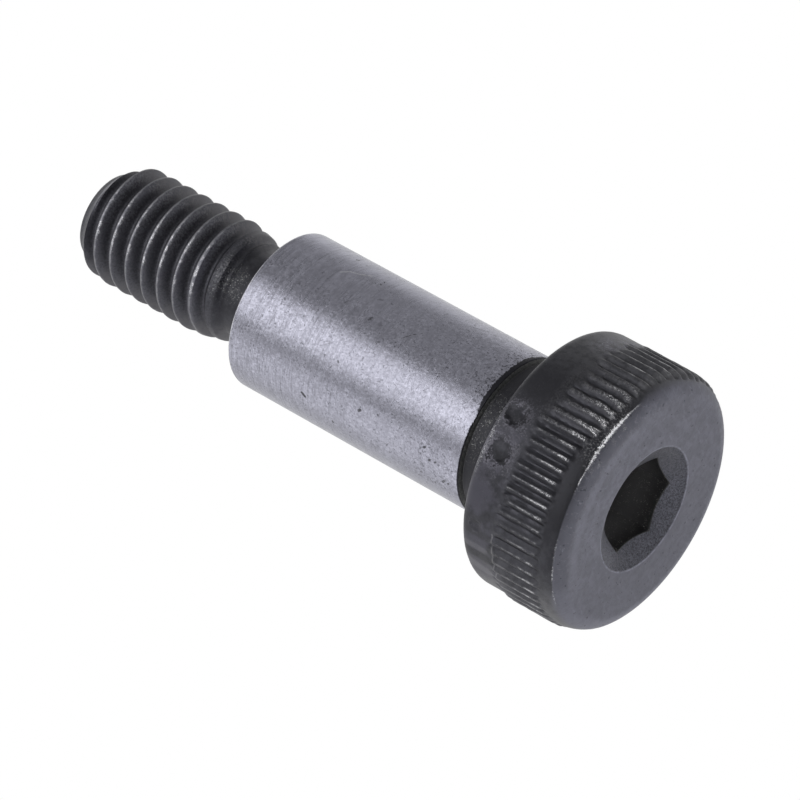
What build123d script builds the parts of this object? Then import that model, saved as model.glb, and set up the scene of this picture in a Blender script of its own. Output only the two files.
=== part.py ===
from build123d import *

import math
import os

# Shoulder bolt with a knurled socket head, in millimetres.
# It stands on its head: the head's face is z = 0, and +Z runs along the axis towards the thread.

# Head
head_diameter = 13.0  # over the ridges of the knurl
head_height = 5.5  # from the face to the bearing face
crown_width = 0.77  # domed outer part of the face, measured along the radius
rim_drop = 0.33  # from the face back to the rim, where the crown ends
rim_inset = 0.33  # from the side of the head in to the rim
corner_height = 1.4  # from the face to where the side runs straight
back_corner_height = 0.45  # rounded edge by the bearing face, along the axis
back_corner_inset = 0.25  # and along the radius

# Knurl on the side of the head
knurl_count = 68
knurl_depth = 0.2  # ridge to root
ridge_land = 0.12  # width of the flat on each ridge
knurl_start = 1.0  # from the face to where the grooves begin
knurl_run_in = 0.5  # length over which they reach full depth
plain_band_width = 2.05  # smooth band left next to the bearing face
plain_band_inset = 0.085  # how far the band lies below the ridges
knurl_end_slope = 0.25  # length over which the ridges slope down to the band
groove_overrun = 0.1  # how far each groove nicks the band

# Hexagon socket in the face
socket_width = 4.08  # across the flats
socket_depth = 3.3
countersink_lip = 0.79  # from a corner of the hexagon out to the edge of the mouth
countersink_angle = 120.0
drill_point_angle = 118.0

# Relieved neck between the head and the shoulder
neck_length = 2.2
neck_depth = 0.275
neck_flare = 0.3  # cone that joins the neck to the bearing face
neck_end_slope = 0.12

# Ground shoulder; its length is taken from the bearing face
shoulder_diameter = 7.97
shoulder_length = 16.2
shoulder_edge_chamfer = 0.1

# Threaded end, as the plain blank that the M6 x 1 thread lies in
thread_diameter = 5.95
thread_length = 11.0
undercut_length = 1.8
undercut_depth = 0.725
undercut_flare = 0.4  # cone that joins the undercut to the end of the shoulder
undercut_flank = 0.45
first_thread_inset = 0.33  # how far the first turn lies below the full diameter
lead_in_length = 1.5  # from the first turn to the full diameter
tip_chamfer_length = 0.93
tip_inset = 0.695

# Radii and heights that follow from the sizes above
head_radius = head_diameter / 2
rim_radius = head_radius - rim_inset
flat_face_radius = rim_radius - crown_width
plain_band_radius = head_radius - plain_band_inset
knurl_root_radius = head_radius - knurl_depth
shoulder_radius = shoulder_diameter / 2
neck_radius = shoulder_radius - neck_depth
thread_radius = thread_diameter / 2
undercut_radius = thread_radius - undercut_depth
first_thread_radius = thread_radius - first_thread_inset
tip_radius = thread_radius - tip_inset
socket_corner_radius = socket_width / math.sqrt(3)
countersink_radius = socket_corner_radius + countersink_lip

knurl_end = head_height - plain_band_width
neck_end = head_height + neck_length
shoulder_end = head_height + shoulder_length
undercut_end = shoulder_end + undercut_length
first_thread = undercut_end + undercut_flank
full_thread = first_thread + lead_in_length
tip_end = shoulder_end + thread_length


def turned_blank():
    """The bolt as it comes off the lathe: one profile turned about the Z axis."""
    face = Line((0, 0), (flat_face_radius, 0))
    crown = TangentArc(face @ 1, (rim_radius, rim_drop), tangent=(1, 0))
    side = Polyline(
        (head_radius, corner_height),
        (head_radius, knurl_end - knurl_end_slope),
        (plain_band_radius, knurl_end),
        (plain_band_radius, head_height - back_corner_height),
    )
    front_corner = TangentArc(side @ 0, crown @ 1, tangent=(0, -1))
    back_edge = (plain_band_radius - back_corner_inset, head_height)
    back_corner = TangentArc(side @ 1, back_edge, tangent=(0, 1))
    shank = Polyline(
        back_edge,
        (neck_radius + neck_flare, head_height),
        (neck_radius, head_height + neck_flare),
        (neck_radius, neck_end - neck_end_slope),
        (shoulder_radius, neck_end),
        (shoulder_radius, shoulder_end - shoulder_edge_chamfer),
        (shoulder_radius - shoulder_edge_chamfer, shoulder_end),
        (undercut_radius + undercut_flare, shoulder_end),
        (undercut_radius, shoulder_end + undercut_flare),
        (undercut_radius, undercut_end),
        (first_thread_radius, first_thread),
        (thread_radius, full_thread),
        (thread_radius, tip_end - tip_chamfer_length),
        (tip_radius, tip_end),
        (0, tip_end),
        (0, 0),
    )
    profile = make_face([face, crown, front_corner, side, back_corner, shank])
    return revolve(Plane.XZ * profile, Axis.Z)


def knurl_groove():
    """One V groove of the knurl, on the +X side, with a floor that runs in and out."""
    outer_radius = head_radius + knurl_depth
    groove_width = math.pi * head_diameter / knurl_count - ridge_land
    flank_slope = groove_width / 2 / knurl_depth
    mouth = flank_slope * (outer_radius - knurl_root_radius)
    vee = make_face(
        Polyline(
            (knurl_root_radius, 0), (outer_radius, mouth), (outer_radius, -mouth), close=True
        )
    )
    run_out = knurl_end_slope + groove_overrun
    rise = run_out / (knurl_depth - plain_band_inset)
    full_depth_end = knurl_end - knurl_end_slope
    side_view = make_face(
        Polyline(
            (outer_radius, knurl_start - knurl_run_in),
            (knurl_root_radius, knurl_start + knurl_run_in),
            (knurl_root_radius, full_depth_end),
            (outer_radius, full_depth_end + rise * (outer_radius - knurl_root_radius)),
            close=True,
        )
    )
    return extrude(vee, head_height) & extrude(Plane.XZ * side_view, mouth, both=True)


def socket_cutter():
    """Hexagon hole with a conical mouth and the cone of the drill at its bottom."""
    hexagon = RegularPolygon(socket_corner_radius, 6)
    hole = extrude(hexagon, socket_depth)
    mouth_depth = countersink_radius / math.tan(math.radians(countersink_angle / 2))
    mouth = make_face(
        Polyline((0, 0), (countersink_radius, 0), (0, mouth_depth), close=True)
    )
    drill_radius = socket_width / 2
    drill_depth = drill_radius / math.tan(math.radians(drill_point_angle / 2))
    drill_point = make_face(
        Polyline(
            (0, socket_depth),
            (drill_radius, socket_depth),
            (0, socket_depth + drill_depth),
            close=True,
        )
    )
    return hole + [revolve(Plane.XZ * cone, Axis.Z) for cone in (mouth, drill_point)]


# The first groove stands half a pitch round, so that a ridge lines up with a corner of the socket
grooves = PolarLocations(0, knurl_count, start_angle=180 / knurl_count) * knurl_groove()
shoulder_bolt = turned_blank() - grooves - socket_cutter()
shoulder_bolt.label = "shoulder_bolt"

os.makedirs("parts", exist_ok=True)
export_step(shoulder_bolt, "parts/shoulder_bolt.step")
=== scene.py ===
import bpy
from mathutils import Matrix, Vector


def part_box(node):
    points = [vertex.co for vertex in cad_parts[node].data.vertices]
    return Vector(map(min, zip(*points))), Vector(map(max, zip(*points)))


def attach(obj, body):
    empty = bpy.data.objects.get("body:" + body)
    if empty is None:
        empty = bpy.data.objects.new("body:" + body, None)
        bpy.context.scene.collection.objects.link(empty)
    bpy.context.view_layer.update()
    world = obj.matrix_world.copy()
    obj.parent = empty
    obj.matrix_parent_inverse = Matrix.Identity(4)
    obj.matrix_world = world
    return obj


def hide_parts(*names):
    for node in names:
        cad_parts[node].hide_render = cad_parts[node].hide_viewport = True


bl_info = {
    "name": "Shoulder Bolt",
    "version": (1, 0, 0),
    "blender": (4, 5, 0),
    "location": "View3D > Sidebar > Shoulder Bolt",
    "description": "Knurled socket head shoulder bolt with a rolled thread, and a plain studio round it",
    "category": "Object",
}

import math

import bpy
import numpy as np
from bpy.props import BoolProperty, FloatProperty, FloatVectorProperty, IntProperty, PointerProperty
from mathutils import Matrix, Vector, noise

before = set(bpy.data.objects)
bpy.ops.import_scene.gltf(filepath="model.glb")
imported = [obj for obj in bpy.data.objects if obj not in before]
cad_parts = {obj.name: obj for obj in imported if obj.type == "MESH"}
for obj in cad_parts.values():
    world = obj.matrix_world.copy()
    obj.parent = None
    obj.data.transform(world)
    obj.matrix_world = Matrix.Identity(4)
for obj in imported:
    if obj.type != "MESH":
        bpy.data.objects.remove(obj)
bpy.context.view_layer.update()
NODE = "shoulder_bolt"
LOW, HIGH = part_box(NODE)
CENTRE = (LOW + HIGH) / 2
MM = 0.001
DEGREE = math.pi / 180


# ---------------------------------------------------------------- sizes and colours

# The masks of bright steel are drawn together with painted glints and highlights
DRAWN_WEAR = 0.6  # the wear that the masks of bright steel are drawn for


def length(name, description, default):
    return FloatProperty(
        name=name, description=description, default=default, min=0.0, unit="LENGTH", precision=5
    )


def angle(name, description, degrees):
    return FloatProperty(
        name=name, description=description, default=math.radians(degrees), subtype="ANGLE"
    )


def share(name, description, default):
    return FloatProperty(
        name=name, description=description, default=default, min=0.0, max=1.0, subtype="FACTOR"
    )


def colour(name, description, default):
    return FloatVectorProperty(
        name=name, description=description, default=default, size=3, min=0.0, max=1.0, subtype="COLOR"
    )


class HeadSizes(bpy.types.PropertyGroup):
    """Sizes of the head, from its face to the bearing face"""

    radius: length("Radius", "Over the ridges of the knurl", (HIGH.x - LOW.x) / 2)
    height: length("Height", "From the face to the bearing face", 0.0055)
    flat_radius: length("Flat radius", "Flat middle of the face", 0.0054)
    rim_radius: length("Rim radius", "Where the crown of the face meets the front corner", 0.00617)
    rim_drop: length("Rim drop", "From the face back to the rim", 0.00033)
    corner_height: length("Corner height", "From the face to where the side runs straight", 0.0014)
    band_radius: length("Band radius", "Plain band beside the bearing face", 0.006415)
    band_lean: length("Band lean", "How far the band stands off centre", 0.00004)
    back_corner: length("Back corner", "Length of the rounded edge by the bearing face", 0.00045)
    back_inset: length("Back inset", "How far that edge draws in", 0.00025)


class KnurlSizes(bpy.types.PropertyGroup):
    """Sizes of the knurl on the side of the head"""

    count: IntProperty(name="Ridges", description="Ridges round the head", default=68, min=12)
    depth: length("Depth", "From ridge to root", 0.0002)
    rise: length("Rise", "How far the ridges stand above the turned side", 0.00008)
    start: length("Start", "From the face to the front ends of the ridges", 0.00105)
    end: length("End", "From the face to the back ends of the ridges", 0.0034)
    wobble: share("Wobble", "How uneven the ridges are", 0.5)


class SocketSizes(bpy.types.PropertyGroup):
    """Sizes of the hexagon socket"""

    width: length("Width", "Across the flats", 0.00408)
    depth: length("Depth", "From the face to the bottom of the hexagon", 0.0033)
    mouth_radius: length("Mouth radius", "Edge of the conical mouth", 0.003145)
    mouth_angle: angle("Mouth angle", "Included angle of the mouth", 120)
    point_angle: angle("Drill point", "Included angle of the drilled bottom", 118)


class ShankSizes(bpy.types.PropertyGroup):
    """Sizes of the neck and the ground shoulder"""

    neck_radius: length("Neck radius", "Relieved neck under the head", 0.00371)
    neck_end: length("Neck end", "From the face to the end of the neck", 0.0077)
    fillet: length("Fillet", "Between the bearing face and the neck", 0.0003)
    radius: length("Shoulder radius", "Ground shoulder", 0.003985)
    end: length("Shoulder end", "From the face to the end of the shoulder", 0.0217)
    chamfer: length("Chamfer", "Edge of the shoulder by the thread", 0.0001)


class ThreadSizes(bpy.types.PropertyGroup):
    """Sizes of the threaded end"""

    radius: length("Radius", "Over the crests", 0.002975)
    root_radius: length("Root radius", "At the bottom of the thread", 0.00239)
    pitch: length("Pitch", "From crest to crest", 0.001)
    undercut_radius: length("Undercut radius", "Neck between the shoulder and the thread", 0.00225)
    undercut_end: length("Undercut end", "From the face to the end of the undercut", 0.0235)
    lead_in: length("Lead-in", "From the undercut to the full crests", 0.00195)
    tip_radius: length("Tip radius", "Flat end of the thread", 0.00228)
    tip_chamfer: length("Tip chamfer", "Length of the chamfer at the tip", 0.00093)
    first_crest: length("First crest", "Height of one crest on the +X side", 0.025266)


class FinishSettings(bpy.types.PropertyGroup):
    """Colours, wear and roughness of the steel"""

    oxide: colour("Oxide", "Black oxide on the side, the neck and the thread", (0.04, 0.04, 0.047))
    face: colour("Face", "Oxide rubbed grey on the face", (0.181, 0.183, 0.222))
    steel: colour("Steel", "Ground shoulder", (0.42, 0.42, 0.495))
    # Bare is also the colour of the painted glints
    bare: colour("Bare", "Steel that shows where the oxide is worn through", (0.8, 0.8, 0.83))
    wear: share("Wear", "How much of the ridges, the rim and the crests is worn bright", DRAWN_WEAR)
    oxide_roughness: share("Oxide roughness", "Roughness of the black oxide", 0.46)
    steel_roughness: share("Steel roughness", "Roughness of the ground shoulder", 0.24)


class StageSettings(bpy.types.PropertyGroup):
    """Camera, lamps and floor"""

    lens: FloatProperty(name="Lens", description="Focal length in millimetres", default=249.6)
    distance: length("Distance", "Radius of the ring of cards round the bolt", 0.6)
    key: FloatProperty(name="Key", description="Radiance of the key card", default=1.48)
    ambient: FloatProperty(name="Ambient", description="Level of the world for diffuse light", default=0.6)
    floor: colour("Floor", "Pale floor", (0.8, 0.8, 0.8))
    show_floor: BoolProperty(name="Floor", description="Lay the floor under the head", default=True)


# ---------------------------------------------------------------- building the mesh
# Lengths here are in millimetres, and the finished mesh is in metres.

OXIDE, GROUND = 0, 1  # material slots
ROUND_POINTS = 224  # in each ring from the bearing face to the tip

# Dents in the plain band: angle, height, half width, half length and depth
DENTS = (
    (-25.6, 4.52, 0.56, 0.62, 0.1),
    (-9.6, 4.62, 0.58, 0.5, 0.09),
    (-60.1, 4.62, 0.3, 0.3, 0.035),
)

# Points across one ridge of the knurl, as shares of its pitch: its land, shoulders, flanks and roots
RIDGE_PARTS = np.array([0.0, 0.09, 0.15, 0.3, 0.44, 0.56, 0.7, 0.85, 0.91])

# Points round half a side of the hexagon, in degrees, closest together at the corner
HALF_SIDE = np.array([0.0, 0.5, 1.2, 2.5, 5.0, 9.0, 14.0, 19.0, 24.5, 30.0])

# How far the hexagon's corners are filled, and over how many degrees
CORNER_FILL, CORNER_SPREAD = 0.03, 1.6

# Rings on the front corner of the head, as lengths behind the rim
CORNER_STEPS = np.array([
    0.03, 0.08, 0.14, 0.2, 0.27, 0.34, 0.41, 0.48, 0.55, 0.62, 0.7, 0.78, 0.87, 0.96
])

# Points along one turn of the thread, as shares of the pitch from a crest
TURN_PARTS = np.array([
    -0.5, -0.45, -0.4, -0.33, -0.25, -0.17, -0.1, -0.055, 0, 0.055, 0.1, 0.17, 0.25, 0.33, 0.4, 0.45
])

# Form of the thread: share of the pitch from the crest, and share of the depth there
FORM_AT = np.array([0, 0.04, 0.07, 0.1, 0.17, 0.25, 0.33, 0.38, 0.42, 0.46, 0.5])
FORM_DEPTH = np.array([0, 0.006, 0.035, 0.095, 0.3, 0.54, 0.78, 0.905, 0.965, 0.992, 1.0])


def mm(value):
    return value / MM


def eased(low, high, x):
    """0 below low, 1 above high and smooth between them."""
    t = np.clip((np.asarray(x, float) - low) / (high - low), 0.0, 1.0)
    return t * t * (3 - 2 * t)


def grain(angles, radius, height, seed):
    """Smooth noise from -1 to 1 round a cylinder, in lumps about 1 across."""
    places = np.broadcast_arrays(radius * np.cos(angles), radius * np.sin(angles), height)
    offset = Vector((seed, seed, seed))
    made = [noise.noise(Vector(place) + offset) for place in zip(*(each.flat for each in places))]
    return np.reshape(made, places[0].shape)


def wrapped(degrees):
    """An angle in degrees, from -180 to 180."""
    return (np.asarray(degrees) + 180.0) % 360.0 - 180.0


def arc_radius(inset, run):
    """Radius of an arc that draws in by inset over the length of run."""
    return (inset**2 + run**2) / (2 * inset)


def fillet(radius, height, size):
    """Radii and heights of a fillet from a face at this height to a cylinder of this radius."""
    turns = np.radians([0, 25, 50, 75, 90])
    return zip(radius + size * (1 - np.sin(turns)), height + size * (1 - np.cos(turns)))


class Skin:
    """A closed surface made of rings round the Z axis, from the bottom of the socket to the tip."""

    def __init__(self):
        self.points = []
        self.faces = []
        self.zones = []
        self.zone = OXIDE
        self.count = 0
        self.angles = None  # of the rings to come
        self.last = None  # angles and indices of the ring that the next one joins

    def add(self, angles, radii, heights):
        """Adds points and gives their indices."""
        radii = np.broadcast_to(radii, angles.shape)
        heights = np.broadcast_to(heights, angles.shape)
        self.points.append(np.stack([radii * np.cos(angles), radii * np.sin(angles), heights], 1))
        indices = np.arange(self.count, self.count + len(angles))
        self.count += len(angles)
        return indices

    def apex(self, height):
        """Adds a point on the axis."""
        return self.add(np.zeros(1), 0.0, height)[0]

    def face(self, *corners):
        """Adds a face, without the corners that fall together."""
        kept = [c for n, c in enumerate(corners) if c != corners[n - 1]]
        if len(kept) > 2:
            self.faces.append(kept)
            self.zones.append(self.zone)

    def begin(self, height):
        """Starts the surface at a point on the axis."""
        self.start = self.apex(height)

    def ring(self, radii, heights):
        """Adds a ring and joins it to the last one, or to the starting point."""
        indices = self.add(self.angles, radii, heights)
        if self.last is None:
            for this, following in zip(indices, np.roll(indices, -1)):
                self.face(self.start, following, this)
        else:
            self.join(*self.last, self.angles, indices)
        self.last = (self.angles, indices)

    def rings(self, profile):
        """Adds a ring for each radius and height of the profile."""
        for radii, heights in profile:
            self.ring(radii, heights)

    def join(self, a_angles, a, b_angles, b):
        """Joins two rings, by squares where they have as many points and by triangles elsewhere."""
        if len(a) == len(b):
            for corners in zip(a, np.roll(a, -1), np.roll(b, -1), b):
                self.face(*corners)
            return
        i = j = 0
        while i < len(a) or j < len(b):
            next_a = a_angles[i + 1] if i + 1 < len(a) else math.tau + a_angles[0]
            next_b = b_angles[j + 1] if j + 1 < len(b) else math.tau + b_angles[0]
            if i < len(a) and (j >= len(b) or next_a <= next_b):
                self.face(a[i], a[(i + 1) % len(a)], b[j % len(b)])
                i += 1
            else:
                self.face(a[i % len(a)], b[(j + 1) % len(b)], b[j])
                j += 1

    def close(self, height):
        """Ends the surface at a point on the axis."""
        tip = self.apex(height)
        indices = self.last[1]
        for this, following in zip(indices, np.roll(indices, -1)):
            self.face(this, following, tip)

    def mesh(self, name, materials):
        made = bpy.data.meshes.new(name)
        points = np.concatenate(self.points) * MM
        made.from_pydata(points.tolist(), [], [[int(c) for c in f] for f in self.faces])
        for material in materials:
            made.materials.append(material)
        made.polygons.foreach_set("material_index", np.array(self.zones, np.int32))
        made.shade_smooth()
        made.update()
        return made


def hexagon(angles, apothem):
    """Radius of the hexagon at each angle: a corner lies on +X, and all six are slightly rounded."""
    turned = np.abs(wrapped(np.degrees(angles) * 6.0) / 6.0)  # from the nearest corner
    plain = apothem / np.cos(np.radians(30.0 - turned))
    return plain - CORNER_FILL * np.exp(-((turned / CORNER_SPREAD) ** 2))


def socket_rings(skin, socket):
    """The socket: drilled point, hexagon, worn edge of the flats and conical mouth."""
    side = np.concatenate([HALF_SIDE, 60.0 - HALF_SIDE[-2:0:-1]])
    angles = skin.angles = np.radians(np.concatenate([side + 60.0 * n for n in range(6)]))
    apothem, depth, mouth = mm(socket.width) / 2, mm(socket.depth), mm(socket.mouth_radius)
    slope = 1 / math.tan(socket.mouth_angle / 2)
    drill = apothem - 0.04
    point = drill / math.tan(socket.point_angle / 2)
    rim = hexagon(angles, apothem)
    edge = (mouth - rim) * slope
    worn = 0.022 + 0.008 * grain(angles, rim * 2.6, 0.0, 71)
    inner, outer = rim + worn + 0.02, mouth - 0.03

    skin.begin(depth + point)
    skin.rings([(drill * part, depth + point * (1 - part)) for part in (0.25, 0.6, 0.97)])
    skin.rings([(drill, depth), (rim - 0.02, depth), (rim, depth - 0.03)])
    skin.rings([(rim, depth + (edge + 0.07 - depth) * part) for part in (0.25, 0.5, 0.75, 0.92)])
    skin.rings([
        (rim, edge + 0.05), (rim + worn * 0.3, edge + 0.012), (rim + worn, edge - worn * slope + 0.003)
    ])
    for part in (0.0, 0.25, 0.5, 0.75):
        radii = inner + (outer - inner) * part
        skin.ring(radii, (mouth - radii) * slope)
    skin.rings([
        (outer, (mouth - outer) * slope), (mouth, 0.004), (mouth + 0.04, 0.0), (mouth + 0.35, 0.0)
    ])


def rough_sector(degrees):
    """1 in the sector where the knurl is coarse and broken, and 0 away from it."""
    return eased(-6, -1, wrapped(degrees)) * (1 - eased(24, 29, wrapped(degrees)))


def ridge_start(degrees, start):
    """Where the ridges begin: further forward on one side of the head, as the knurling wheel left them."""
    around = wrapped(degrees)
    forward = eased(-9, 1, around) * (1 - eased(130, 170, around))
    return start - (0.44 + 0.1 * eased(34, 60, around)) * forward


def ridge_end(degrees, end):
    """Where the ridges end, further back on both sides of the coarse sector."""
    around = wrapped(degrees)
    before, after = 0.3 * (1 - eased(-78, -40, around)), 0.35 * eased(40, 75, around)
    return end + before - 0.25 * rough_sector(degrees) + after


def dented(degrees, heights, radius):
    """How far the dents in the plain band lie below it: shallow ovals with a raised lip."""
    total = np.zeros(np.broadcast(degrees, heights).shape)
    for at, z, wide, tall, deep in DENTS:
        across = np.radians(wrapped(degrees - at)) * radius / wide
        along = (heights - z) / tall
        turn = np.arctan2(along, across)
        distance = np.hypot(across, along) / (1 + 0.1 * np.sin(turn * 3 + at) + 0.06 * np.sin(turn * 7))
        lip = np.exp(-(((distance - 1.12) / 0.1) ** 2))
        total += deep * (1 - eased(0.7, 1.0, distance) - 0.25 * lip)
    return total


def knurled_side(head, knurl, angles, z, band):
    """Radius of the side at each height and angle: a turned form with ridges raised and grooves pressed."""
    degrees = np.degrees(angles)
    radius, corner, drop = mm(head.radius), mm(head.corner_height), mm(head.rim_drop)
    rise, depth, pitch = mm(knurl.rise), mm(knurl.depth), 360.0 / knurl.count
    arc = arc_radius(radius - mm(head.rim_radius), corner - drop)
    turned = radius - arc + np.sqrt(arc**2 - np.clip(corner - z, 0, None) ** 2)
    turned = turned - rise * eased(drop, corner, z) - (radius - rise - band) * eased(3.45, 3.75, z)

    # How far each ridge strays from its place, and leans at its front end
    rough = rough_sector(degrees)
    sway = knurl.wobble * (
        0.45 * grain(angles, 5, z * 0.9, 11)
        + rough * 0.35 * grain(angles, 7.8, z * 1.43, 3)
        + (0.1 + 0.75 * rough) * grain(angles, 26, z * 4, 19)
    )
    leaning = rough * 0.7 + 1.1 * eased(28, 40, degrees) * (1 - eased(120, 150, degrees))
    phase = (degrees + (sway + leaning * np.clip(1.5 - z, 0, None) ** 1.5)) / pitch
    phase = np.abs(phase - np.round(phase))
    ridge = 1 - eased(0.07, 0.47, phase) * 0.6 - np.clip((phase - 0.09) / 0.38, 0, 1) * 0.4

    # Where each ridge starts and ends, and how high it stands
    number = np.round(degrees / pitch).astype(int) % knurl.count
    jitter = np.array([noise.noise(Vector((n * 1.37, 2.1, 0.4))) for n in range(knurl.count)])
    start = ridge_start(degrees, mm(knurl.start)) + 0.16 * jitter[number]
    end = ridge_end(degrees, mm(knurl.end)) + 0.35 * jitter[(number * 7 + 3) % knurl.count]
    window = eased(start - 0.13, start + 0.14, z) * (1 - eased(end - 0.3, end + 0.2, z))
    worn = 0.5 * knurl.wobble * (
        np.clip(grain(angles, 11.2, z * 2.56, 23), 0, 1)
        + rough * (0.5 + 0.5 * grain(angles, 18, z * 6.4, 31))
    )
    tall = rise * (1 - 0.25 * knurl.wobble * (0.5 + 0.5 * jitter[number])) * (1 - worn)
    pressed = (depth - rise) * (1 - 0.35 * rough) * (1 - ridge)
    torn = rough * (0.02 * grain(angles, 30, z * 5, 41) + 0.01 * grain(angles, 50, z * 9, 47))
    lumps = 0.006 * grain(angles, 4, z * 0.8, 7) * eased(3.6, 3.9, z)
    side = turned + window * (tall * ridge - pressed + torn) - dented(degrees, z, band) + lumps
    return np.minimum(side, radius)


def head_rings(skin, head, knurl):
    """The head: crowned face, knurled side, plain band and rounded edge at the bearing face."""
    degrees = np.concatenate([RIDGE_PARTS + n for n in range(knurl.count)]) * 360.0 / knurl.count
    angles = skin.angles = np.radians(degrees)
    flat, rim, drop = mm(head.flat_radius), mm(head.rim_radius), mm(head.rim_drop)
    height, back, inset = mm(head.height), mm(head.back_corner), mm(head.back_inset)
    skin.rings([(flat - 0.35, 0.0), (flat, 0.0)])
    crown = arc_radius(drop, rim - flat)
    for part in (0.17, 0.34, 0.5, 0.64, 0.77, 0.88, 0.96):
        out = (rim - flat) * part
        skin.ring(flat + out, crown - math.sqrt(crown**2 - out**2))
    chip = 0.006 * grain(angles, rim * 3, 0.0, 5)
    skin.rings([(rim - 0.012 + chip, drop - 0.004), (rim + 0.012 + chip, drop + 0.016)])

    heights = np.concatenate([
        drop + CORNER_STEPS,
        np.linspace(mm(head.corner_height), 3.95, 28),
        np.linspace(4.05, height - back, 12),
    ])
    band = mm(head.band_radius) + mm(head.band_lean) * np.cos(np.radians(degrees - 72.0))
    side = knurled_side(head, knurl, angles, heights[:, None], band)
    skin.rings(zip(side, heights))

    arc = arc_radius(inset, back)
    for part in (0.3, 0.55, 0.78, 0.93):
        at = height - back * (1 - part)
        radii = band - arc + math.sqrt(arc**2 - (back * part) ** 2)
        skin.ring(radii - dented(degrees, at, band) * (1 - part), at)
    skin.rings([(band - inset - 0.01, height - 0.004), (band - inset - 0.04, height)])


def shank_rings(skin, head, shank):
    """The bearing face, the relieved neck and the ground shoulder."""
    skin.angles = np.arange(ROUND_POINTS) * math.tau / ROUND_POINTS
    height, corner = mm(head.height), mm(shank.fillet)
    neck, neck_end = mm(shank.neck_radius), mm(shank.neck_end)
    radius, end, chamfer = mm(shank.radius), mm(shank.end), mm(shank.chamfer)
    skin.ring(neck + corner + 0.25, height)
    skin.rings(fillet(neck, height, corner))
    skin.rings([(neck, height + corner + 0.3), (neck, neck_end - 0.45), (neck, neck_end - 0.16)])
    skin.rings([(neck + 0.02, neck_end - 0.11), (radius - 0.04, neck_end - 0.03)])
    skin.zone = GROUND
    skin.rings([(radius - 0.008, neck_end - 0.004), (radius, neck_end + 0.03)])
    skin.rings([(radius, at) for at in np.linspace(neck_end + 0.2, end - chamfer - 0.25, 12)])
    skin.rings([(radius, end - chamfer - 0.03), (radius - 0.012, end - chamfer + 0.02)])
    skin.rings([(radius - chamfer + 0.015, end - 0.012), (radius - chamfer - 0.02, end)])


def thread_rings(skin, shank, thread):
    """The undercut, the helical thread, which runs out at both ends, and the flat tip."""
    angles = skin.angles
    turns = angles / math.tau
    end, tip = mm(shank.end), mm(HIGH.z)
    radius, pitch, crest = mm(thread.radius), mm(thread.pitch), mm(thread.first_crest)
    undercut, undercut_end = mm(thread.undercut_radius), mm(thread.undercut_end)
    tip_radius, tip_start = mm(thread.tip_radius), tip - mm(thread.tip_chamfer)
    lead_end = undercut_end + mm(thread.lead_in)
    bottom = end + 1.3  # where the rings end and the helix begins
    skin.zone = GROUND
    skin.ring(undercut + 0.55, end)
    skin.zone = OXIDE
    skin.rings(fillet(undercut, end, 0.4))
    skin.rings([(undercut, end + 0.8), (undercut, bottom)])

    # Heights and radii of the turned blank that the thread is cut into
    blank_z, blank_r = zip(
        (bottom, undercut), (undercut_end, undercut), (undercut_end + 0.12, undercut + 0.08),
        (undercut_end + 0.45, radius - 0.33), (lead_end - 0.2, radius - 0.045), (lead_end, radius),
        (tip_start - 0.37, radius), (tip_start + 0.15, radius - 0.13), (tip - 0.3, tip_radius + 0.17),
        (tip, tip_radius),
    )
    form_radius = radius - (radius - mm(thread.root_radius)) * FORM_DEPTH
    lean = 0.15 * ((1 + np.cos(angles - math.radians(40.0))) / 2) ** 1.5  # one side of the tip is cut back

    def surface(z):
        """Radius at these heights, one for each angle."""
        from_crest = (z - crest) / pitch - turns
        from_crest = np.abs(from_crest - np.round(from_crest))
        nick = np.clip(grain(angles, 5.1, z * 1.87, 51) - 0.25, 0, None)
        nick = nick * (1 - eased(0.0, 0.14, from_crest))
        lumps = 0.006 * grain(angles, 7.2, z * 2.4, 61)
        form = np.interp(from_crest, FORM_AT, form_radius) - 0.03 * nick + lumps
        blank = np.interp(z, blank_z, blank_r) - lean * eased(tip_start - 0.2, tip - 0.3, z)
        return np.minimum(np.minimum(form, blank), radius)

    # Rows of points follow the helix, and end where they reach the undercut or the tip
    low = skin.last[1]
    high = skin.add(angles, tip_radius - lean, tip)
    per_turn = len(TURN_PARTS)
    first = math.floor((bottom - crest) / pitch) - 2
    last = math.ceil((tip - crest) / pitch) + 1
    rows = []
    for n in range(first * per_turn, (last + 1) * per_turn + 1):
        z = crest + pitch * (n // per_turn + TURN_PARTS[n % per_turn]) + pitch * turns
        below, above = z <= bottom + 0.004, z >= tip - 0.004
        inside = ~(below | above)
        row = np.where(below, low, high)
        if inside.any():
            row[inside] = skin.add(angles[inside], surface(z)[inside], z[inside])
        rows.append(row)

    def shifted(n):
        """Row n, one point further round: its last point starts the row that lies one turn on."""
        after = rows[n + per_turn] if n + per_turn < len(rows) else high
        return [*rows[n][1:], after[0]]

    for n in range(len(rows) - 1):
        for corners in zip(rows[n], shifted(n), shifted(n + 1), rows[n + 1]):
            skin.face(*corners)
    skin.last = (angles, high)
    skin.ring(tip_radius - 0.05 - lean, tip)
    skin.close(tip)


# ---------------------------------------------------------------- nodes


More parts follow.
